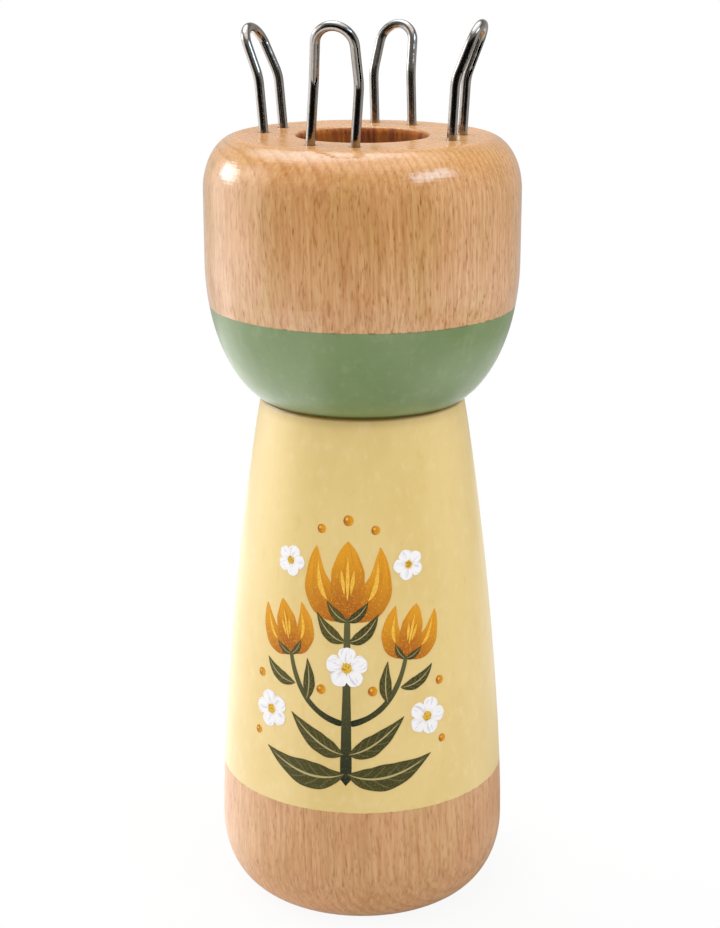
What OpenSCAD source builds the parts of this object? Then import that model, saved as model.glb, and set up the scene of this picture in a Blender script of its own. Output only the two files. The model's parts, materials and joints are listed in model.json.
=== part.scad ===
// Knitting nancy: a turned beech spool in two pieces, a round head glued by its spigot
// into a flared body, with a bore right through and four bent wire hoops in the top.
// Millimetres, +Z up. The origin is the centre of the ring that the body stands on.
// The hoops stand close to the X and Y axes, each as it was set by hand.

/* [Body] */
// Height of the body, from the table to the seam under the head
body_h = 68; // [55:0.2:80]
// Widest diameter of the body, just above its rounded foot
base_d = 38; // [34:0.2:46]
// Height of the rounded foot
foot_h = 9; // [6:0.2:14]
// Outer diameter of the flat ring that the body stands on
stand_d = 26; // [23:0.5:30]
// Diameter of the body and of the head where they meet at the seam
neck_d = 26.4; // [25:0.2:32]
// Angle of the flank from the vertical at the neck
neck_flare = 10; // [6:0.5:14]

/* [Head] */
// Height of the head above the seam
head_h = 33.2; // [30:0.2:42]
// Widest diameter of the head
head_d = 40; // [38:0.5:48]
// Height from the seam to the widest line of the head
bowl_h = 17.5; // [15:0.5:22]
// Angle through which the elliptical bowl turns, from its widest line to the seam
bowl_turn = 70; // [60:1:80]
// How far the rounded shoulder runs in from the head's side
shoulder_w = 4.4; // [3:0.2:6]
// How far the rounded shoulder drops from the flat top
shoulder_h = 6.8; // [5:0.2:10]

/* [Bore and joint] */
// Diameter of the bore that the knitted cord runs down
bore_d = 16; // [12:0.5:17]
// Rounding of the bore's two mouths
mouth_round = 0.8; // [0.4:0.1:1.4]
// Diameter of the spigot under the head
spigot_d = 21; // [20:0.2:22]
// Length of the spigot under the head
spigot_l = 10; // [6:0.5:16]
// Gap for glue around the spigot
glue_gap = 0.1; // [0.05:0.01:0.2]
// Space for spare glue under the spigot
glue_well = 0.4; // [0.2:0.1:1]
// Rounding of the two edges that meet at the seam
seam_round = 0.5; // [0.2:0.1:1]

/* [Hoops] */
// Diameter of the hoops' wire
wire_d = 1.2; // [0.8:0.1:1.6]
// Distance from the head's widest line in to the hoops' feet
hoop_inset = 7.9; // [6.5:0.1:8.4]
// Distance between the centres of a hoop's two legs
leg_pitch = 5.6; // [5:0.1:6.4]
// Height of the right, back, left and front hoop above the head's flat top, along its legs
hoop_h = [14.4, 13.2, 13.5, 14.9]; // [12:0.1:17]
// Turn of each hoop about the bore, off the middle of its side
hoop_turn = [2, -2, -4, 0.5]; // [-6:0.5:6]
// Twist of each hoop about its own middle
hoop_twist = [-1, -12, -2, 0]; // [-16:1:16]
// Lean of each hoop's legs outwards
hoop_out = [3, 1, 6, 2]; // [0:0.5:8]
// Lean of each hoop's legs sideways, to the left as seen from outside
hoop_side = [-0.5, -2.5, 1.5, -4.5]; // [-6:0.5:6]
// Diameter of the arch on top of a hoop, at the middle of the wire
arch_d = 4.9; // [4.2:0.1:5.2]
// Share of a hoop's height at which it bends outwards
bend_share = 0.5; // [0.4:0.02:0.6]
// Angle by which a hoop bends outwards
bend_angle = 18; // [12:1:28]
// Radius of the wire's centre line in the outward bend
bend_r = 6; // [2:0.5:8]
// Depth of a hoop's legs in the head
leg_depth = 12; // [8:0.5:16]
// Gap between a leg and its drilled hole, all round
hole_gap = 0.04; // [0.02:0.01:0.1]
// Drilled depth left below the end of a leg
hole_spare = 0.3; // [0.2:0.1:1]

/* [Paint] */
// Height of the line between the beech and the green paint on the head, above the seam
green_line = 12.1; // [8:0.1:16]
// Height of the line between the beech and the yellow paint on the body, above the table
yellow_line = 17.3; // [12:0.1:22]

/* [Hidden] */

beech = [0.79, 0.60, 0.43];
sage = [0.51, 0.62, 0.46];
straw = [0.92, 0.82, 0.55];
nickel = [0.62, 0.61, 0.59];

$fn = 128;
// Straight steps in each curve of a turned outline
curve_steps = 24;

top_z = body_h + head_h;
bore_r = bore_d / 2;
neck_r = neck_d / 2;
head_r = head_d / 2;
base_r = base_d / 2;
stand_r = stand_d / 2;
hoop_ring_r = head_r - hoop_inset;
spigot_r = spigot_d / 2;
socket_r = spigot_r + glue_gap;
socket_floor = body_h - spigot_l - glue_well;
// Height of the flank's lower tangent handle and length of its upper one, as shares of the flank
lower_handle = 0.2;
upper_handle = 0.32;
flank_h = body_h - foot_h;
// A straight run of wire is thinner than the bends by this on each side, and laps into them
hair = 0.005;
lap = 0.05;
// How far the drill for a leg hole starts above the flat top
drill_over = 1;

// Outlines, as points of radius and height

// Part of an ellipse about a centre, from one angle to another
function arc(centre, size, from, to) = [
    for (i = [0 : curve_steps])
        let (a = from + (to - from) * i / curve_steps)
        centre + [size[0] * cos(a), size[1] * sin(a)]
];

// A cubic curve through two ends, shaped by two handles
function curve(a, b, c, d) = [
    for (i = [0 : curve_steps])
        let (t = i / curve_steps, u = 1 - t)
        u * u * u * a + 3 * u * u * t * b + 3 * u * t * t * c + t * t * t * d
];

// The head's outside, from the seam up the bowl and over the shoulder to the flat top
function head_outside() =
    let (bowl_size = [(head_r - neck_r) / (1 - cos(bowl_turn)), bowl_h / sin(bowl_turn)])
    let (shoulder = [head_r - shoulder_w, top_z - shoulder_h])
    concat(
        arc([head_r - bowl_size[0], body_h + bowl_h], bowl_size, -bowl_turn, 0),
        arc(shoulder, [shoulder_w, shoulder_h], 0, 90)
    );

// The body's outside, from the ring it stands on over the foot and up the flank to the seam
function body_outside() =
    let (top = [neck_r, body_h - seam_round])
    let (upper = upper_handle * flank_h)
    concat(
        arc([stand_r, foot_h], [base_r - stand_r, foot_h], -90, 0),
        curve(
            [base_r, foot_h],
            [base_r, foot_h + lower_handle * flank_h],
            top + upper * [sin(neck_flare), -cos(neck_flare)],
            top
        ),
        arc([neck_r - seam_round, body_h - seam_round], [seam_round, seam_round], 0, 90)
    );

// Turned pieces

// A turned piece with one band of its outside painted, from one height to another
module painted(paint, from, to) {
    color(beech)
        difference() {
            children();
            paint_band(from, to);
        }
    color(paint)
        intersection() {
            children();
            paint_band(from, to);
        }
}

module paint_band(from, to) {
    translate([0, 0, from])
        cylinder(h = to - from, d = head_d + base_d);
}

module head() {
    painted(sage, body_h - spigot_l - glue_well, body_h + green_line)
        difference() {
            head_turning();
            leg_holes();
        }
}

module head_turning() {
    rotate_extrude()
        polygon(concat(
            [
                [bore_r, body_h - spigot_l],
                [spigot_r - seam_round, body_h - spigot_l],
                [spigot_r, body_h - spigot_l + seam_round],
                [spigot_r, body_h]
            ],
            head_outside(),
            arc([bore_r + mouth_round, top_z - mouth_round], [mouth_round, mouth_round], 90, 180)
        ));
}

module body() {
    painted(straw, yellow_line, top_z)
        body_turning();
}

module body_turning() {
    rotate_extrude()
        polygon(concat(
            arc([bore_r + mouth_round, mouth_round], [mouth_round, mouth_round], 180, 270),
            body_outside(),
            [
                [socket_r, body_h],
                [socket_r, socket_floor],
                [bore_r, socket_floor]
            ]
        ));
}

// Each hoop has its legs in two drilled holes in the flat top
module leg_holes() {
    for (i = [0 : len(hoop_h) - 1])
        at_hoop(i)
            for (side = [-1, 1])
                translate([0, side * leg_pitch / 2, -leg_depth - hole_spare])
                    cylinder(h = leg_depth + hole_spare + drill_over, d = wire_d + 2 * hole_gap);
}

// Puts the children where a hoop stands on the flat top, with +Z along its legs and +X outwards
module at_hoop(i) {
    rotate([0, 0, 90 * i + hoop_turn[i]])
        translate([hoop_ring_r, 0, top_z])
            rotate([hoop_side[i], hoop_out[i], hoop_twist[i]])
                children();
}

// Wire hoops

// One of the four hoops, counted round from the +X side. Its legs run straight up from the head, and
// above the bend they turn outwards and close in a little towards the arch.
module hoop(i) {
    bend_h = bend_share * hoop_h[i];
    reach = (hoop_h[i] - wire_d / 2 - bend_h) / cos(bend_angle);
    arch_r = arch_d / 2;
    arch_up = reach - arch_r;
    slant = norm([leg_pitch / 2, arch_up]);
    close_in = acos(arch_r / slant) - atan2(arch_up, leg_pitch / 2);
    straight = sqrt(slant * slant - arch_r * arch_r);
    turn = acos(cos(close_in) * cos(bend_angle));
    bend_run = bend_r * tan(turn / 2);

    upright = [0, 0, 1];
    up = [sin(bend_angle), 0, cos(bend_angle)];

    at_hoop(i) translate([0, 0, bend_h]) {
        for (side = [-1, 1]) {
            across = [0, side, 0];
            corner = leg_pitch / 2 * across;
            rise = cos(close_in) * up - sin(close_in) * across;
            inward = (rise - cos(turn) * upright) / sin(turn);

            rod(corner, upright, -leg_depth - bend_h, lap - bend_run);
            bend(corner - bend_run * upright, upright, inward, bend_r, turn);
            rod(corner, rise, bend_run - lap, straight + lap);
        }
        outward = cos(close_in) * [0, 1, 0] + sin(close_in) * up;
        rise = cos(close_in) * up - sin(close_in) * [0, 1, 0];
        bend(arch_up * up + arch_r * outward, rise, -outward, arch_r, 180 - 2 * close_in);
    }
}

// A straight run of wire along a line, from one distance to another. It is a hair thinner
// than the bends, so that its ends lie inside them.
module rod(start, along, from, to) {
    side = cross([0, 1, 0], along);
    place(side / norm(side), along, start + from * along)
        rotate([-90, 0, 0])
            cylinder(h = to - from, d = wire_d - 2 * hair);
}

// A bent piece of wire that starts at a point, along a tangent, and turns towards a normal
module bend(start, tangent, normal, radius, angle) {
    place(-normal, tangent, start + radius * normal)
        rotate_extrude(angle = angle)
            translate([radius, 0])
                circle(d = wire_d);
}

// Puts the children in a frame with the given x and y directions and origin
module place(x, y, origin) {
    z = cross(x, y);
    multmatrix([
        [x[0], y[0], z[0], origin[0]],
        [x[1], y[1], z[1], origin[1]],
        [x[2], y[2], z[2], origin[2]],
        [0, 0, 0, 1]
    ])
        children();
}

module hoop_right() { color(nickel) hoop(0); }
module hoop_back() { color(nickel) hoop(1); }
module hoop_left() { color(nickel) hoop(2); }
module hoop_front() { color(nickel) hoop(3); }

body();
head();
hoop_right();
hoop_back();
hoop_left();
hoop_front();
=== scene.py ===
"""The looks of a knitting nancy: lacquered beech, satin paint with a printed sprig, and nickel hoops.

Sizes are in millimetres until they reach the scene, which is in metres.
"""
import json
import math
import random

import bpy
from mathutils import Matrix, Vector
from mathutils.bvhtree import BVHTree


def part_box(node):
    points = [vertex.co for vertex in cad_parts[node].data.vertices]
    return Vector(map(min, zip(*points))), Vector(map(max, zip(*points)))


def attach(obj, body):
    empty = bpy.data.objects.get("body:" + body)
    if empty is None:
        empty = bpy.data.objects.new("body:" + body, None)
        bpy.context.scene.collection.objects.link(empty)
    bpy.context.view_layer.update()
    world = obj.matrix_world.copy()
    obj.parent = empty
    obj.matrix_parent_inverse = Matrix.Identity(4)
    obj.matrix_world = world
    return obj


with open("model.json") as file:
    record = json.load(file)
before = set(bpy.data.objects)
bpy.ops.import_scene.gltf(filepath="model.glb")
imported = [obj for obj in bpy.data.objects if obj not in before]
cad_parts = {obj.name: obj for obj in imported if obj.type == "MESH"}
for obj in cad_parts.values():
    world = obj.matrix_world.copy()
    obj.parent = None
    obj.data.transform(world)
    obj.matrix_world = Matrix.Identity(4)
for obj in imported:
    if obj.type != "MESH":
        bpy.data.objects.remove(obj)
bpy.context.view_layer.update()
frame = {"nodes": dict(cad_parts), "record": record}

MM = 0.001

# Sizes that the frame gives
seam_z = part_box("body")[1].z / MM
top_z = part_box("head")[1].z / MM
bore = next(mount for mount in frame["record"]["mounts"] if mount["name"] == "cord_bore")
bore_r = bore["dims"]["r_mm"]
hoops = ("hoop_right", "hoop_back", "hoop_left", "hoop_front")

# Paint lines: the green one's height above the seam, and the heights of both above the table
green_line = 12.1
green_z = seam_z + green_line
yellow_z = 17.3

# Radius of the hoops' wire
wire_r = 0.6

# The photograph's frame and the camera that took it
image_w = 720
image_h = 928
focal_px = 1944.4
axis_px = 362.4
camera_turn = math.radians(17.5)
camera_pitch = math.radians(16.52)
camera_away = 244.1
camera_height = 130.7
camera_clip = 10
sensor_w = 36.0


def srgb(red, green, blue):
    """A colour written as 0 to 255 in sRGB, as linear RGBA."""
    def linear(value):
        value /= 255
        return value / 12.92 if value <= 0.04045 else ((value + 0.055) / 1.055) ** 2.4
    return (linear(red), linear(green), linear(blue), 1.0)


# Shader nodes

class Field:
    """A value that varies over a surface, as the output of a node. Arithmetic on it adds nodes."""

    def __init__(self, tree, socket):
        self.tree = tree
        self.socket = socket

    def __add__(self, other):
        return self.tree.math("ADD", self, other)

    def __sub__(self, other):
        return self.tree.math("SUBTRACT", self, other)

    def __mul__(self, other):
        return self.tree.math("MULTIPLY", self, other)

    def __truediv__(self, other):
        return self.tree.math("DIVIDE", self, other)

    def __rsub__(self, other):
        return self.tree.math("SUBTRACT", other, self)


class Tree:
    """The nodes of a material or a world."""

    # Sockets of the Mix node for colours: its share and two colours, and its result
    mix_inputs = (0, 6, 7)
    mix_output = 2

    def __init__(self, owner):
        owner.use_nodes = True
        self.nodes = owner.node_tree.nodes
        self.links = owner.node_tree.links

    def put(self, socket, value):
        """Links a field to a socket, or sets the socket to a plain value."""
        if isinstance(value, Field):
            self.links.new(value.socket, socket)
        else:
            socket.default_value = value

    def add(self, kind, settings=None, **inputs):
        """A new node. An underscore in the name of an input stands for a space."""
        node = self.nodes.new("ShaderNode" + kind)
        for name, value in (settings or {}).items():
            setattr(node, name, value)
        for name, value in inputs.items():
            self.put(node.inputs[name.replace("_", " ")], value)
        return node

    def out(self, node, name):
        return Field(self, node.outputs[name])

    def math(self, operation, *values):
        node = self.add("Math", {"operation": operation})
        for socket, value in zip(node.inputs, values):
            self.put(socket, value)
        return Field(self, node.outputs[0])

    def distance(self, x, y):
        """The length of a level vector."""
        return self.math("SQRT", x * x + y * y)

    def parts(self, vector):
        node = self.add("SeparateXYZ", Vector=vector)
        return [Field(self, socket) for socket in node.outputs]

    def scaled(self, place, scale):
        """A place as a vector, with each of its parts times its own scale."""
        x, y, z = (part * factor for part, factor in zip(place, scale))
        return self.out(self.add("CombineXYZ", X=x, Y=y, Z=z), "Vector")

    def noise(self, place, scale, detail=2.0, roughness=0.5):
        """Smooth noise from 0 to 1. The scale says how fine it is along each part of the place."""
        vector = self.scaled(place, scale)
        node = self.add("TexNoise", Vector=vector, Scale=1.0, Detail=detail, Roughness=roughness)
        return self.out(node, "Fac")

    def spindles(self, place, size):
        """Distance to the nearest of scattered points, as a share of the size that is given for each part
        of the place, and a random value from 0 to 1 for each point."""
        vector = self.scaled(place, [1 / length for length in size])
        node = self.add("TexVoronoi", {"distance": "MANHATTAN"}, Vector=vector, Scale=1.0)
        return self.out(node, "Distance"), self.parts(self.out(node, "Color"))[0]

    def rise(self, value, low, high):
        """0 below low, 1 above high and smooth between them. It falls where low is above high."""
        if low > high:
            ends = {"From_Min": high, "From_Max": low, "To_Min": 1.0, "To_Max": 0.0}
        else:
            ends = {"From_Min": low, "From_Max": high}
        node = self.add("MapRange", {"interpolation_type": "SMOOTHSTEP"}, Value=value, **ends)
        return self.out(node, "Result")

    def blend(self, share, first, second, mode="MIX"):
        """The first colour, changed by the second as far as the share says."""
        node = self.add("Mix", {"data_type": "RGBA", "blend_type": mode})
        for index, value in zip(self.mix_inputs, (share, first, second)):
            self.put(node.inputs[index], value)
        return Field(self, node.outputs[self.mix_output])

    def shade(self, share, colour, tint):
        """A colour, multiplied by a tint as far as the share says."""
        return self.blend(share, colour, tint, "MULTIPLY")

    def bump(self, height_mm):
        node = self.add("Bump", Strength=1.0, Distance=MM, Height=height_mm)
        return self.out(node, "Normal")


class Finish(Tree):
    """A material with one Principled shader."""

    def __init__(self, name):
        self.material = bpy.data.materials.new(name)
        super().__init__(self.material)
        self.surface = self.nodes["Principled BSDF"]

    def set(self, **inputs):
        for name, value in inputs.items():
            self.put(self.surface.inputs[name.replace("_", " ")], value)

    def place_mm(self):
        """The place on the object, as x, y and z in millimetres."""
        place = self.out(self.add("TexCoord"), "Object")
        return [part * (1 / MM) for part in self.parts(place)]

    def facing_up(self):
        """How far the surface faces straight up or down, from 0 to 1."""
        normal = self.out(self.add("NewGeometry"), "Normal")
        return self.math("ABSOLUTE", self.parts(normal)[2])


# Beech: two colours of fibre, and tints that multiply them

beech_mid = srgb(199, 149, 100)
beech_light = srgb(215, 171, 124)
beech_dash = (0.79, 0.70, 0.59, 1.0)
beech_ring = (0.84, 0.70, 0.52, 1.0)
beech_fleck = (0.62, 0.51, 0.41, 1.0)
beech_broad = (0.92, 0.87, 0.80, 1.0)
beech_rosy = (1.03, 0.98, 1.02, 1.0)
beech_olive = (0.98, 1.01, 0.93, 1.0)
beech_gold_and_top_light = (1.15, 1.12, 1.02, 1.0)
beech_pale = (1.08, 1.14, 1.26, 1.0)
beech_top_sheen = (1.21, 1.16, 1.13, 1.0)

# Width of a year's ring and how uneven the years are, and the lean and sway of the trunk
ring_w = 0.95
uneven_rings = 2.0
year_scale = 0.25
pith_lean = 0.02
sway_scale = (0.06, 0.06, 0.02)
sway_x = 3.0
sway_y = 2.0

# Scales of the grain: round the trunk, out from its pith and along it
fibre_scale = (2.5, 2.5, 0.14)
line_scale = (3.8, 3.3, 0.19)
dash_scale = (4.7, 4.2, 0.62)
broad_scale = (0.3, 0.3, 0.04)
rosy_scale = (0.22, 0.22, 0.09)
rosy_shift = 7.0 / rosy_scale[0]
fleck_size = (0.28, 0.6, 2.1)


def beech(finish, place, pith, sapwood, figure):
    """Colour and surface height of beech that grew round a pith, given as a point in plan. Sapwood is the
    depth at which it grows paler, and figure says how strongly the dashes and rays show."""
    x, y, z = place
    sway = finish.noise(place, sway_scale, detail=1.0) - 0.5
    out_x = x - pith[0] + z * pith_lean + sway * sway_x
    out_y = y - pith[1] + sway * sway_y
    axis_depth = math.hypot(*pith)
    depth = finish.distance(out_x, out_y)
    across = finish.math("ARCTAN2", out_y, out_x) * axis_depth
    grain = (across, depth, z)

    # Growth rings, pale in spring and darker to the year's end
    uneven = finish.noise((depth, 0.0, 0.0), (year_scale, 1.0, 1.0)) * uneven_rings
    season = finish.math("FRACT", depth / ring_w + uneven)
    late = finish.rise(season, 0.4, 0.9) * finish.rise(season, 1.0, 0.92)

    # Fibres along the grain: long pale streaks, long thin lines, and short dashes between them
    fibre = finish.noise(grain, fibre_scale, detail=3.0, roughness=0.6)
    line = finish.noise(grain, line_scale, detail=1.0)
    dash = finish.noise(grain, dash_scale, detail=1.0)
    broad = finish.noise(grain, broad_scale)
    rosy = finish.noise((across + rosy_shift, depth, z), rosy_scale)

    # Rays, cut across as short dark spindles
    near, chance = finish.spindles(grain, fleck_size)
    fleck = finish.rise(near, 0.52, 0.12) * finish.rise(chance, 0.35, 1.0)

    # Paler wood on the pith's side, in the sapwood and in some years between them
    pale_years = finish.math("ABSOLUTE", depth - 0.97 * axis_depth)
    pale = finish.rise(depth, 1.25 * axis_depth, 0.85 * axis_depth)
    pale = pale + finish.rise(depth, sapwood, sapwood + 6.0)
    pale = pale + finish.rise(pale_years, 5.0, 1.0) * 0.5

    # On end grain the fibres show less and the rings more, apart from the smooth level faces. Faces that
    # tilt up or down are also golder and lighter, partly end-grain tone and partly painted light, and level
    # faces, top and bottom, get a painted sheen
    up = finish.facing_up()
    end_grain = finish.rise(up, 0.1, 0.7)
    level = finish.rise(up, 0.8, 0.98)
    ring_share = (end_grain * 0.55 - level * 0.55 + 0.3) * figure
    line_share = (figure - end_grain * 0.6) * 0.5
    dash_share = figure - end_grain * 0.5
    fleck_share = figure - end_grain * 0.3
    gold_and_top_light = end_grain * (1.0 - level * 0.6) * 0.85

    colour = finish.blend(finish.rise(fibre, 0.3, 0.7), beech_mid, beech_light)
    colour = finish.shade(pale, colour, beech_pale)
    colour = finish.shade(finish.rise(broad, 0.35, 0.75) * 0.5, colour, beech_broad)
    colour = finish.shade(finish.rise(rosy, 0.35, 0.65) * 0.7, colour, beech_rosy)
    colour = finish.shade(finish.rise(rosy, 0.55, 0.3) * 0.7, colour, beech_olive)
    colour = finish.shade(late * ring_share, colour, beech_ring)
    colour = finish.shade(finish.rise(line, 0.52, 0.72) * line_share, colour, beech_dash)
    colour = finish.shade(finish.rise(dash, 0.52, 0.7) * dash_share, colour, beech_dash)
    colour = finish.shade(fleck * fleck_share, colour, beech_fleck)
    # End-grain gold, with painted light on faces that tilt up or down
    colour = finish.shade(gold_and_top_light, colour, beech_gold_and_top_light)
    # Painted sheen on level faces, top and bottom
    colour = finish.shade(finish.rise(up, 0.88, 0.99), colour, beech_top_sheen)
    height = fibre * 0.012 - fleck * 0.01 - dash * 0.006
    return colour, height


# Paint

# How far a paint line wavers and blurs, and where the painted shade along it is full and where it ends
line_waver = 0.22
line_blur = 0.03
edge_shade_full = 0.05
edge_shade_end = 0.16

# Thickness of the paint, and the sheen that paint and lacquer share
paint_thick = 0.02
coating = {"IOR": 1.5, "Specular_IOR_Level": 0.8}


def paint_edge(finish, place, line_z, above):
    """1 on the painted side of a line all round, with a slightly uneven edge, and 0 on the other. With it
    comes a broken dark line along the edge, painted shade of the paint's raised edge."""
    uneven = finish.noise(place, (1.6, 1.6, 0.3)) - 0.5
    over = (place[2] - line_z + uneven * line_waver) * (1.0 if above else -1.0)
    patchy = finish.noise(place, (0.9, 0.9, 0.3), detail=3.0, roughness=0.6)
    close = finish.rise(finish.math("ABSOLUTE", over), edge_shade_end, edge_shade_full)
    return finish.rise(over, -line_blur, line_blur), close * finish.rise(patchy, 0.48, 0.66)


def paint(finish, place, colour, dark, light):
    """Satin paint with soft, cloudy changes of tone."""
    cloud = finish.noise(place, (0.11, 0.11, 0.07), detail=3.0, roughness=0.55)
    mottle = finish.noise(place, (0.7, 0.7, 0.5), detail=3.0, roughness=0.6)
    tone = finish.blend(finish.rise(cloud, 0.38, 0.66) * 0.6, colour, dark)
    tone = finish.blend(finish.rise(mottle, 0.42, 0.25) * 0.5, tone, dark)
    return finish.blend(finish.rise(mottle, 0.5, 0.75) * 0.6, tone, light)


# Materials of the turned pieces, with tints that multiply their colours

bore_streak = (0.45, 0.30, 0.16, 1.0)
bore_tint = (0.74, 0.40, 0.0, 1.0)
head_amber = (0.93, 0.87, 0.71, 1.0)
foot_tint = (1.02, 0.975, 0.905, 1.0)
wire_foot_dark = (0.35, 0.24, 0.17, 1.0)
green_edge_shade = (0.40, 0.36, 0.24, 1.0)
yellow_edge_shade = (0.55, 0.45, 0.30, 1.0)
# Tints of the seam's dark joint and the painted shade in its groove
green_grime_and_shade = (0.32, 0.28, 0.08, 1.0)
yellow_grime_and_shade = (0.36, 0.30, 0.09, 1.0)

# Where each of these is full and where it ends: the bore's raw wood, out from its wall, the darker ring
# round a wire's foot, out from the wire, the seam's dark joint with its painted shade, up and down from it,
# and the head's amber tone, down from the top
raw_full = 0.1
raw_end = 0.5
ring_full = 0.08
ring_end = 0.4
grime_shade_full = 0.1
grime_shade_end = 0.55
amber_full = 8.0
amber_end = 17.0

# How much coarser the grain lies on raw wood
raw_coarse = 8.0


def bore_share(finish, place):
    """1 on the wall of the bore and 0 outside it."""
    radius = finish.distance(place[0], place[1])
    return finish.rise(radius, bore_r + raw_end, bore_r + raw_full)


def bore_colour(finish, place, colour):
    """The bore's wall is raw drilled wood, darker and streaked."""
    streak = finish.noise(place, (0.7, 0.7, 0.10), detail=5.0, roughness=0.75)
    raw = finish.shade(finish.rise(streak, 0.65, 0.35), colour, bore_streak)
    return finish.shade(1.0, raw, bore_tint)


def hoop_feet(hoop):
    """The middles of a hoop's two legs where they go into the head's flat top."""
    mesh = frame["nodes"][hoop].data
    cuts = []
    for edge in mesh.edges:
        ends = [mesh.vertices[index].co / MM for index in edge.vertices]
        low, high = sorted(ends, key=lambda point: point.z)
        if low.z < top_z <= high.z:
            cuts.append(low.lerp(high, (top_z - low.z) / (high.z - low.z)))
    middle = sum(cuts, Vector()) / len(cuts)
    far = max(cuts, key=lambda point: (point - middle).length) - middle
    for side in (-1, 1):
        leg = [point for point in cuts if (point - middle).dot(far) * side > 0]
        yield sum(leg, Vector()) / len(leg)


def wire_foot_darkening(finish, place):
    """1 close round a hoop's foot, where the wire goes into the head, and 0 further away."""
    x, y, z = place
    nearest = None
    for hoop in hoops:
        for foot in hoop_feet(hoop):
            away = finish.distance(x - foot.x, y - foot.y)
            nearest = finish.math("MINIMUM", nearest, away) if nearest else away
    on_top = finish.rise(z, top_z - 0.6, top_z - 0.2)
    return finish.rise(nearest, wire_r + ring_end, wire_r + ring_full) * on_top


def seam_grime_and_shade(finish, place, reach):
    """How dark the groove of the seam is: a dark joint with painted shade in it, most of it at the front. A
    fainter painted shadow reaches further up and down."""
    x, y, z = place
    away = finish.math("ABSOLUTE", z - seam_z)
    uneven = finish.noise((x, y, 0.0), (0.5, 0.5, 1.0)) * 0.3
    # Painted shade, heavier at the front, and a fainter painted shadow further from the seam
    front = finish.rise(y, 2.0, -12.0)
    thick = finish.rise(away, grime_shade_end, grime_shade_full) + finish.rise(away, reach, 2 * grime_shade_full) * 0.35
    return thick * (front * 0.55 + 0.25 + uneven)


def head_finish():
    finish = Finish("head_beech_and_green")
    place = finish.place_mm()
    wood, grain = beech(finish, place, pith=(36.0, 26.0), sapwood=56.0, figure=0.9)
    inside = bore_share(finish, place)
    painted, edge_shade = paint_edge(finish, place, green_z, above=False)
    painted = painted * (1.0 - inside)
    bare = 1.0 - painted - inside
    green = paint(finish, place, srgb(119, 140, 88), dark=srgb(106, 128, 75), light=srgb(131, 150, 102))

    amber = finish.rise(place[2], top_z - amber_end, top_z - amber_full)
    wood = finish.shade(amber, wood, head_amber)
    colour = finish.blend(inside, wood, bore_colour(finish, place, wood))
    # Darker ring round each wire's foot
    colour = finish.shade(wire_foot_darkening(finish, place) * 0.8, colour, wire_foot_dark)
    colour = finish.blend(painted, colour, green)
    # Painted shade along the paint's raised edge
    colour = finish.shade(edge_shade * 0.6, colour, green_edge_shade)
    # Dark joint and painted shade in the seam's groove
    colour = finish.shade(seam_grime_and_shade(finish, place, reach=0.9), colour, green_grime_and_shade)

    # Lacquer that lies a little unevenly, smooth paint, and raw wood in the bore
    lacquer = finish.noise(place, (0.33, 0.33, 0.22), roughness=0.45)
    orange_peel = finish.noise(place, (0.8, 0.8, 0.7))
    smear = finish.noise(place, (0.5, 0.5, 0.5))
    level = finish.rise(finish.facing_up(), 0.93, 0.995) * 0.1
    height = lacquer * (bare * 0.085 + 0.012) + orange_peel * (bare * 0.009 + 0.002)
    height = height + grain * 0.15 + inside * grain * raw_coarse + painted * paint_thick
    roughness = bare * (smear * 0.14 + 0.11 + level) + painted * (smear * 0.1 + 0.28) + inside * 0.95
    finish.set(Base_Color=colour, Roughness=roughness, Normal=finish.bump(height), **coating)
    return finish.material


def body_finish():
    finish = Finish("body_beech_and_yellow")
    place = finish.place_mm()
    wood, grain = beech(finish, place, pith=(-40.0, 18.0), sapwood=80.0, figure=0.8)
    inside = bore_share(finish, place)
    painted, edge_shade = paint_edge(finish, place, yellow_z, above=True)
    painted = painted * (1.0 - inside)
    bare = 1.0 - painted
    yellow = paint(finish, place, srgb(231, 202, 128), dark=srgb(222, 191, 112), light=srgb(235, 209, 143))

    wood = finish.shade(1.0, wood, foot_tint)
    colour = finish.blend(painted, wood, yellow)
    # Painted shade along the paint's raised edge
    colour = finish.shade(edge_shade * 0.25, colour, yellow_edge_shade)
    colour = finish.blend(inside, colour, bore_colour(finish, place, wood))
    # Dark joint and painted shade in the seam's groove
    colour = finish.shade(seam_grime_and_shade(finish, place, reach=1.8), colour, yellow_grime_and_shade)

    # Paint that lies a little unevenly, satin lacquer on the foot, and raw wood in the bore
    soft = finish.noise(place, (0.25, 0.25, 0.15))
    peel = finish.noise(place, (1.0, 1.0, 0.7))
    smear = finish.noise(place, (0.4, 0.4, 0.4))
    height = soft * 0.015 + peel * 0.003 + grain * (0.3 - painted * 0.2)
    height = height + inside * grain * raw_coarse + painted * paint_thick
    roughness = painted * (smear * 0.12 + 0.33) + bare * (smear * 0.15 + 0.3) + inside * 0.35
    finish.set(Base_Color=colour, Roughness=roughness, Normal=finish.bump(height), **coating)
    finish.set(Coat_Weight=painted * 0.5, Coat_Roughness=0.36)
    return finish.material


def wire_finish():
    finish = Finish("hoop_nickel")
    place = finish.place_mm()
    drawn = finish.noise(place, (5.0, 5.0, 0.6), detail=3.0, roughness=0.6)
    dents = finish.noise(place, (1.4, 1.4, 1.1))
    colour = finish.blend(finish.rise(drawn, 0.3, 0.7), srgb(158, 150, 142), srgb(172, 165, 158))
    finish.set(Base_Color=colour, Metallic=1.0, Roughness=drawn * 0.12 + 0.10)
    finish.set(Normal=finish.bump(dents * 0.03 + drawn * 0.004))
    return finish.material


def dress(node, material):
    for slot in frame["nodes"][node].material_slots:
        slot.material = material


dress("head", head_finish())
dress("body", body_finish())
nickel = wire_finish()
for hoop in hoops:
    dress(hoop, nickel)


# The printed sprig, drawn as points across + up * 1j on the body's unrolled side

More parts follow.
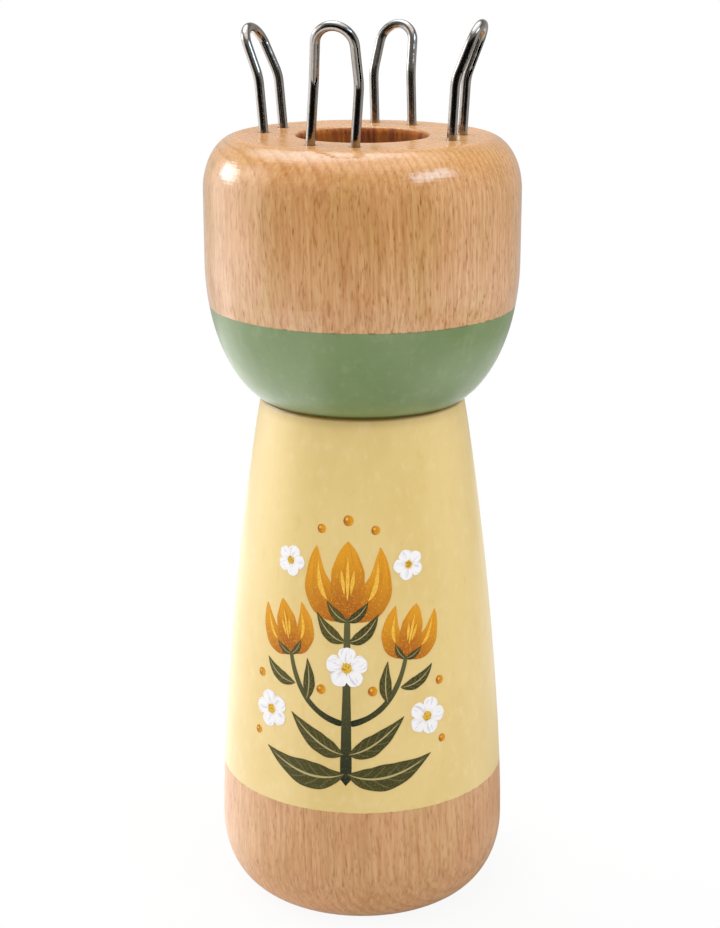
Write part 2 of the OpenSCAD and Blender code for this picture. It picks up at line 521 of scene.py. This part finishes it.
# Turn of the print's middle from +X, how far ink reaches into the body, the step between two strokes'
# layers, the least half width of a stroke, and a distance well outside the body
print_angle = math.radians(-79.0)
ink_under = 0.02
ink_layer = 0.0006
thin = 0.02
outside = 100

body_side = BVHTree.FromObject(frame["nodes"]["body"], bpy.context.evaluated_depsgraph_get())


def body_radius(height):
    """The radius of the body's side at a height above the table."""
    far = Vector((outside * MM, 0, height * MM))
    return body_side.ray_cast(far, Vector((-1, 0, 0)))[0].x / MM


def on_body(point, lift):
    """A drawn point on the body's side, lifted off it, in metres. The slope is the change of the radius over
    a millimetre of height."""
    height = point.imag
    radius = body_radius(height)
    slope = body_radius(height + 0.5) - body_radius(height - 0.5)
    angle = print_angle + point.real / radius
    outward = Vector((math.cos(angle), math.sin(angle), -slope)).normalized()
    place = Vector((radius * math.cos(angle), radius * math.sin(angle), height))
    return (place + outward * lift) * MM


def curve(start, bow, end, share):
    return (1 - share) ** 2 * start + 2 * (1 - share) * share * bow + share ** 2 * end


# Each shape is a list of middle points and half widths

def leaf(start, bow, end, width, fullest=0.45, blunt=1.0, steps=22):
    """A pointed leaf or petal along a curve. It is fullest at a share of its length, and the lower blunt
    is, the rounder are its ends."""
    power = math.log(0.5) / math.log(fullest)
    shape = []
    for i in range(steps + 1):
        share = i / steps
        half = 0.5 * width * max(math.sin(math.pi * share ** power), 0.0) ** blunt
        shape.append((curve(start, bow, end, share), half + thin))
    return shape


def stem(start, bow, end, width, end_width, steps=22):
    """A brush stroke along a curve. Each of its rounded ends takes a fourteenth of it."""
    shape = []
    for i in range(steps + 1):
        share = i / steps
        half = 0.5 * (width + (end_width - width) * share)
        rounding = math.sqrt(1 - max(0.0, 1 - 14 * min(share, 1 - share)) ** 2)
        shape.append((curve(start, bow, end, share), half * rounding + thin))
    return shape


def dot(middle, radius, steps=14):
    shape = []
    for i in range(steps + 1):
        share = 2 * i / steps - 1
        shape.append((middle + radius * share, radius * math.sqrt(1 - share ** 2) + thin))
    return shape


class Ink:
    """One printed colour: thin closed strips on the body, each a layer above the one before it."""

    # Points across a strip, and the two waves in which its edges waver: their shares of its width and
    # how far they run along it, in radians
    columns = 7
    slow_waver = 0.035
    slow_run = 9
    quick_waver = 0.025
    quick_run = 23

    def __init__(self, name, lift, seed):
        self.name = name
        self.lift = lift
        self.chance = random.Random(seed)
        self.points = []
        self.faces = []
        self.marks = []
        self.tones = []

    def add(self, shape):
        """Prints a shape, with edges that waver a little."""
        rows = len(shape)
        first = len(self.points)
        tone = self.chance.random()
        wave = self.chance.uniform(0, math.tau)
        for lift in (self.lift, -ink_under):
            for i, (middle, half) in enumerate(shape):
                ahead = shape[min(i + 1, rows - 1)][0] - shape[max(i - 1, 0)][0]
                sideways = 1j * ahead / abs(ahead)
                slow = self.slow_waver * math.sin(wave + self.slow_run * i / rows)
                quick = self.quick_waver * math.sin(2 * wave + self.quick_run * i / rows)
                reach = sideways * half * (1 + slow + quick)
                for j in range(self.columns):
                    share = j / (self.columns - 1)
                    self.points.append(on_body(middle + reach * (2 * share - 1), lift))
                    self.marks.append((i / (rows - 1), share))
                    self.tones.append(tone)
        self.lift += ink_layer
        self.close(first, rows)

    def close(self, first, rows):
        """Faces of the upper and lower grid and of the thin wall round them."""
        columns = self.columns
        under = rows * columns

        def at(i, j, layer):
            return first + layer * under + i * columns + j

        for i in range(rows - 1):
            for j in range(columns - 1):
                self.faces.append((at(i, j, 0), at(i + 1, j, 0), at(i + 1, j + 1, 0), at(i, j + 1, 0)))
                self.faces.append((at(i, j, 1), at(i, j + 1, 1), at(i + 1, j + 1, 1), at(i + 1, j, 1)))
        rim = [(i, 0) for i in range(rows)]
        rim += [(rows - 1, j) for j in range(1, columns)]
        rim += [(i, columns - 1) for i in range(rows - 2, -1, -1)]
        rim += [(0, j) for j in range(columns - 2, 0, -1)]
        for (i, j), (k, m) in zip(rim, rim[1:] + rim[:1]):
            self.faces.append((at(i, j, 0), at(i, j, 1), at(k, m, 1), at(k, m, 0)))

    def make(self, material):
        mesh = bpy.data.meshes.new(self.name)
        mesh.from_pydata(self.points, [], self.faces)
        spread = mesh.uv_layers.new(name="stroke")
        for loop in mesh.loops:
            spread.data[loop.index].uv = self.marks[loop.vertex_index]
        tone = mesh.attributes.new("tone", "FLOAT", "POINT")
        tone.data.foreach_set("value", self.tones)
        mesh.materials.append(material)
        piece = bpy.data.objects.new(self.name, mesh)
        bpy.context.scene.collection.objects.link(piece)
        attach(piece, "root")


stems = Ink("print_stems", lift=0.026, seed=1)
leaves = Ink("print_leaves", lift=0.048, seed=2)
blooms = Ink("print_blooms", lift=0.032, seed=3)
petals = Ink("print_petals", lift=0.062, seed=4)
lights = Ink("print_lights", lift=0.082, seed=5)
centres = Ink("print_centres", lift=0.082, seed=6)


def tulip(foot, lean, size):
    """A bloom of three petals on a stem's end. Its size is its height."""
    def at(across, up):
        return foot + complex(across, up) * size * complex(math.cos(lean), math.sin(lean))
    for side in (-1, 1):
        outer = at(0, 0), at(0.52 * side, 0.12), at(0.42 * side, 0.92)
        blooms.add(leaf(*outer, width=0.40 * size, fullest=0.42, blunt=0.8))
    blooms.add(leaf(at(0, 0.02), at(0, 0.5), at(0, 1.0), width=0.46 * size, blunt=0.8))
    for side in (-1, 1):
        lights.add(leaf(at(0.27 * side, 0.22), at(0.4 * side, 0.35), at(0.39 * side, 0.74), 0.06 * size))
        leaves.add(leaf(at(0, -0.06), at(0.16 * side, -0.02), at(0.27 * side, 0.2), 0.13 * size))
    for across, low, high in ((-0.07, 0.3, 0.62), (0.0, 0.22, 0.8), (0.07, 0.3, 0.62)):
        lights.add(leaf(at(across * 0.6, low), at(across, 0.5), at(across * 1.2, high), 0.045 * size))


def blossom(middle, radius, turn):
    """A white flower of five petals round a yellow middle."""
    for i in range(5):
        angle = turn + math.tau * i / 5
        way = complex(math.cos(angle), math.sin(angle))
        petal = middle + 0.12 * radius * way, middle + 0.6 * radius * way, middle + radius * way
        petals.add(leaf(*petal, width=0.82 * radius, fullest=0.6, blunt=0.6))
    centres.add(dot(middle, 0.24 * radius))


def berry(middle, radius):
    """A round berry with a light on it."""
    blooms.add(dot(middle, radius))
    lights.add(dot(middle + radius * complex(-0.3, 0.32), 0.28 * radius, steps=8))


def sprig():
    """A stem with three tulips, and leaves, blossoms and berries alike on both sides of it."""
    stems.add(stem(21.0j, 30j, 43.5j, width=1.5, end_width=0.7))
    tulip(43.2j, lean=0.0, size=9.6)
    blossom(36.6j, 2.7, turn=math.pi / 2)
    for side in (-1, 1):
        def at(across, up):
            return complex(side * across, up)
        stems.add(stem(at(0.2, 29.2), at(6.4, 30.4), at(7.6, 38.2), width=0.8, end_width=0.5))
        tulip(at(7.6, 38.0), lean=-0.20 * side, size=6.6)
        leaves.add(leaf(at(0.2, 22.6), at(4.8, 20.6), at(11.2, 24.6), 3.5))
        leaves.add(leaf(at(0.3, 25.2), at(3.4, 25.6), at(7.4, 30.0), 2.6))
        leaves.add(leaf(at(5.3, 32.0), at(4.6, 34.0), at(5.2, 37.4), 1.5))
        leaves.add(leaf(at(6.9, 33.9), at(9.6, 33.8), at(11.2, 36.4), 1.6))
        leaves.add(leaf(at(0.2, 40.0), at(2.4, 40.2), at(3.9, 43.6), 1.7))
        blossom(at(10.6, 29.6), 2.5, turn=math.pi / 2 - 0.3 * side)
        blossom(at(7.7, 49.6), 2.0, turn=math.pi / 2 + 0.4 * side)
        berry(at(3.3, 33.6), 0.6)
        berry(at(12.4, 34.0), 0.55)
        berry(at(3.4, 54.2), 0.55)
        berry(at(12.9, 26.2), 0.5)
    berry(55.4j, 0.65)


def stroke(finish):
    """Along and across a printed stroke, each from 0 to 1, and the stroke's own random tone."""
    place = finish.out(finish.add("UVMap", {"uv_map": "stroke"}), "UV")
    along, across = finish.parts(place)[:2]
    tone = finish.out(finish.add("Attribute", {"attribute_name": "tone"}), "Fac")
    return along, across, tone


def ink_grain(finish):
    """Fine dry-brush speckle, from 0 to 1."""
    return finish.noise(finish.place_mm(), (4.0, 4.0, 4.0), detail=3.0, roughness=0.65)


def ink_finish(name, paint_stroke):
    finish = Finish(name)
    along, across, tone = stroke(finish)
    colour = paint_stroke(finish, along, across, tone, ink_grain(finish))
    finish.set(Base_Color=colour, Roughness=0.5, IOR=1.5, Specular_IOR_Level=0.3)
    return finish.material


# Each ink's colour, from the place along and across a stroke, the stroke's tone and the speckle

def stem_paint(finish, along, across, tone, grain):
    colour = finish.blend(along, srgb(28, 36, 18), srgb(98, 94, 52))
    return finish.blend(finish.rise(grain, 0.5, 0.75) * 0.5, colour, srgb(112, 106, 60))


def leaf_paint(finish, along, across, tone, grain):
    edge = finish.math("ABSOLUTE", across - 0.5) * 2.0
    colour = finish.blend(tone, srgb(54, 56, 18), srgb(80, 74, 28))
    colour = finish.blend(finish.rise(grain, 0.45, 0.72) * 0.7, colour, srgb(112, 102, 48))
    vein = finish.math("FRACT", along * 6.0 - edge * 1.3)
    veins = finish.rise(vein, 0.80, 0.92) * finish.rise(edge, 0.95, 0.7) * 0.35
    colour = finish.blend(veins, colour, srgb(146, 132, 80))
    rib = finish.rise(edge, 0.11, 0.05) * finish.rise(along, 0.96, 0.85)
    return finish.blend(rib, colour, srgb(186, 170, 116))


def bloom_paint(finish, along, across, tone, grain):
    streak = finish.noise((across, along, tone), (7.0, 1.2, 9.0))
    colour = finish.blend(finish.rise(along, 0.0, 0.95), srgb(170, 90, 4), srgb(222, 152, 16))
    colour = finish.blend(finish.rise(streak, 0.45, 0.7) * 0.5, colour, srgb(192, 112, 6))
    return finish.blend(finish.rise(grain, 0.5, 0.72) * 0.55, colour, srgb(236, 178, 48))


def light_paint(finish, along, across, tone, grain):
    return finish.blend(finish.rise(grain, 0.35, 0.7), srgb(242, 194, 76), srgb(226, 162, 34))


def petal_paint(finish, along, across, tone, grain):
    streak = finish.noise((across, along, tone), (8.0, 1.5, 9.0))
    colour = finish.blend(finish.rise(streak, 0.5, 0.7) * 0.75, srgb(243, 241, 242), srgb(206, 200, 211))
    return finish.blend(finish.rise(along, 0.35, 0.0) * 0.5, colour, srgb(226, 208, 170))


def centre_paint(finish, along, across, tone, grain):
    return finish.blend(finish.rise(grain, 0.42, 0.62), srgb(232, 190, 62), srgb(176, 128, 26))


sprig()
stems.make(ink_finish("ink_stems", stem_paint))
leaves.make(ink_finish("ink_leaves", leaf_paint))
blooms.make(ink_finish("ink_blooms", bloom_paint))
petals.make(ink_finish("ink_petals", petal_paint))
lights.make(ink_finish("ink_lights", light_paint))
centres.make(ink_finish("ink_centres", centre_paint))


# Stage: a white floor that fades into a white room, with soft lamps

floor_r = 240.0
paper_colour = (0.9, 0.9, 0.9, 1.0)
shade_colour = (0.5, 0.5, 0.5, 1.0)
contact_shade_colour = (0.55, 0.53, 0.51, 1.0)
white = (1.0, 1.0, 1.0, 1.0)
skylight_colour = (0.80, 1.0, 1.08, 1.0)

# How much further away than a lamp its gleam lies, and the share of the height that lamps are aimed at
gleam_behind = 10
lamp_aim = 0.75


def ray_kinds(tree):
    """1 for rays that show the white background, from the camera or through glass, and 1 for rays that a
    glossy surface sends out."""
    path = tree.add("LightPath")
    shown = tree.math("MAXIMUM", tree.out(path, "Is Camera Ray"), tree.out(path, "Is Transmission Ray"))
    return shown, tree.out(path, "Is Glossy Ray")


def direction(turn, rise):
    """A direction, from its turn away from the camera, to the right, and its rise, in degrees."""
    angle = camera_turn - math.pi / 2 + math.radians(turn)
    level = math.cos(math.radians(rise))
    return Vector((level * math.cos(angle), level * math.sin(angle), math.sin(math.radians(rise))))


def floor():
    """A disc that is white to the camera, apart from a faint shadow. In glossy surfaces it shows painted lit
    and dull zones, and it throws light back as paper does, with painted shade on the camera's side and a
    painted contact shadow round the foot."""
    bpy.ops.mesh.primitive_circle_add(vertices=128, radius=floor_r * MM, fill_type="NGON")
    disc = bpy.context.object
    disc.name = "floor"
    material = bpy.data.materials.new("white_floor")
    tree = Tree(material)
    tree.nodes.remove(tree.nodes["Principled BSDF"])
    place = tree.out(tree.add("TexCoord"), "Object")
    x, y = tree.parts(place)[:2]
    away = tree.distance(x, y) * (1 / MM)
    shown, glossy = ray_kinds(tree)
    white_share = tree.math("MAXIMUM", shown, glossy) * (tree.rise(away, 15.0, 90.0) * 0.08 + 0.92)

    def along(turn):
        way = direction(turn, 0) / MM
        return x * way.x + y * way.y

    # Zones, as distances from the middle in millimetres
    left, right, back, behind = along(-115), along(90), along(160), along(180)
    # Painted contact shadow round the foot, away from the window side, and painted shade on the camera's
    # side
    contact_shade = tree.rise(away, 28.0, 15.0) * tree.rise(left, 4.0, -14.0)
    shady = tree.rise(along(-170), 0.0, -40.0) * tree.rise(away, 130.0, 80.0)
    lit_left = tree.rise(left, 10.0, 28.0) * 1.15 - tree.rise(left, 42.0, 70.0) * 0.3
    lit_back = tree.rise(back, 0.0, 50.0) * 0.35 - tree.rise(back, 0.0, -50.0) * 0.3
    lit_right = tree.rise(right, 10.0, 30.0) * tree.rise(right, 125.0, 105.0) * tree.rise(behind, 25.0, 0.0)
    dull_near = tree.rise(right, 10.0, 25.0) * tree.rise(away, 50.0, 38.0)
    dull_back = tree.rise(right, 20.0, 45.0) * tree.rise(away, 90.0, 60.0) * tree.rise(behind, -10.0, 20.0)
    dull_far = tree.rise(right, 115.0, 150.0)
    lit = lit_left + lit_back + lit_right * 0.35
    dull = contact_shade * 0.3 + dull_near * 0.5 + dull_back * 0.6 + dull_far * 0.8 + 0.3

    paper = tree.blend(contact_shade, tree.blend(shady, paper_colour, shade_colour), contact_shade_colour)
    mix = tree.add("MixShader")
    tree.put(mix.inputs[0], white_share)
    tree.put(mix.inputs[1], tree.out(tree.add("BsdfDiffuse", Color=paper), "BSDF"))
    tree.put(mix.inputs[2], tree.out(tree.add("Emission", Strength=(lit - dull) * glossy + 1.0), "Emission"))
    tree.links.new(mix.outputs[0], tree.nodes["Material Output"].inputs["Surface"])
    disc.data.materials.append(material)


def room():
    """A white sweep behind the object. Glossy things reflect a room with bright walls at the sides, a cool
    skylight, a pale ceiling and a window pane, dim on the camera's side."""
    world = bpy.data.worlds.new("room")
    bpy.context.scene.world = world
    tree = Tree(world)
    ray = tree.parts(tree.out(tree.add("TexCoord"), "Generated"))

    def lobe(turn, rise, edge, full):
        """1 round a direction and 0 away from it, with the ends of its edge given as cosines."""
        x, y, z = direction(turn, rise)
        return tree.rise(ray[0] * x + ray[1] * y + ray[2] * z, edge, full)

    soft = lobe(-72, 55, 0.1, 1.0) * 0.40 + tree.rise(ray[2], 0.3, 1.0) * 0.15 + 0.82

    left_wall = lobe(-104, 0, 0.74, 1.0)
    right_wall = lobe(80, -6, 0.7, 1.0)
    skylight = lobe(-145, 64, 0.84, 0.96)
    pane = lobe(-92, 28, 0.97, 0.99)
    ceiling = tree.rise(ray[2], 0.7, 0.92)
    backdrop = lobe(180, 0, 0.1, 0.8) * tree.rise(ray[2], 0.62, 0.42)
    backdrop = backdrop * (lobe(-90, 0, -0.5, 0.5) * 0.2 + 0.23)
    dim = lobe(0, 0, 0.05, 0.8) * tree.rise(ray[2], 0.42, 0.25)
    shine = left_wall * 1.6 + right_wall * 0.5 + skylight * 2.6 + pane * 1.2 + ceiling * 1.6
    shine = (shine + backdrop + 0.25) * (1.0 - dim)

    shown, glossy = ray_kinds(tree)
    light = soft + (shine - soft) * glossy
    background = tree.nodes["Background"]
    tree.put(background.inputs["Color"], tree.blend(skylight * glossy, white, skylight_colour))
    tree.put(background.inputs["Strength"], light + (1.0 - light) * shown)


def lamp(name, turn, rise, away, size, radiance, gleam):
    """A soft rectangular lamp, aimed at the object. Its turn is from the camera, to the right. The gleam is
    the colour, times the radiance, in which glossy surfaces show it."""
    aim = direction(turn, rise)
    target = Vector((0, 0, lamp_aim * top_z * MM))
    for glossy, colour, behind in ((False, white[:3], 0), (True, gleam, gleam_behind)):
        data = bpy.data.lights.new(name, "AREA")
        data.shape = "RECTANGLE"
        data.size = size[0] * MM
        data.size_y = size[1] * MM
        data.energy = radiance * math.pi * data.size * data.size_y
        data.color = colour
        source = bpy.data.objects.new(name, data)
        bpy.context.scene.collection.objects.link(source)
        source.location = target + aim * (away + behind) * MM
        source.rotation_euler = aim.to_track_quat("Z", "Y").to_euler()
        source.visible_camera = False
        source.visible_diffuse = not glossy
        source.visible_glossy = glossy


def camera():
    data = bpy.data.cameras.new("camera")
    data.sensor_width = sensor_w
    data.lens = sensor_w * focal_px / max(image_w, image_h)
    data.clip_start = camera_clip * MM
    eye = bpy.data.objects.new("camera", data)
    bpy.context.scene.collection.objects.link(eye)
    yaw = math.atan2(axis_px - image_w / 2, focal_px)
    eye.location = Vector((math.sin(camera_turn), -math.cos(camera_turn), 0)) * camera_away * MM
    eye.location.z = camera_height * MM
    eye.rotation_euler = (math.pi / 2 - camera_pitch, 0, camera_turn + yaw)
    bpy.context.scene.camera = eye


floor()
room()
lamp("left_window", turn=-116, rise=16, away=480, size=(170, 120), radiance=5.6, gleam=(0.9, 0.98, 1.06))
lamp("right_fill", turn=60, rise=39, away=600, size=(310, 150), radiance=4.3, gleam=(0.74, 1.08, 1.38))
camera()
bpy.context.scene.view_settings.view_transform = "Standard"
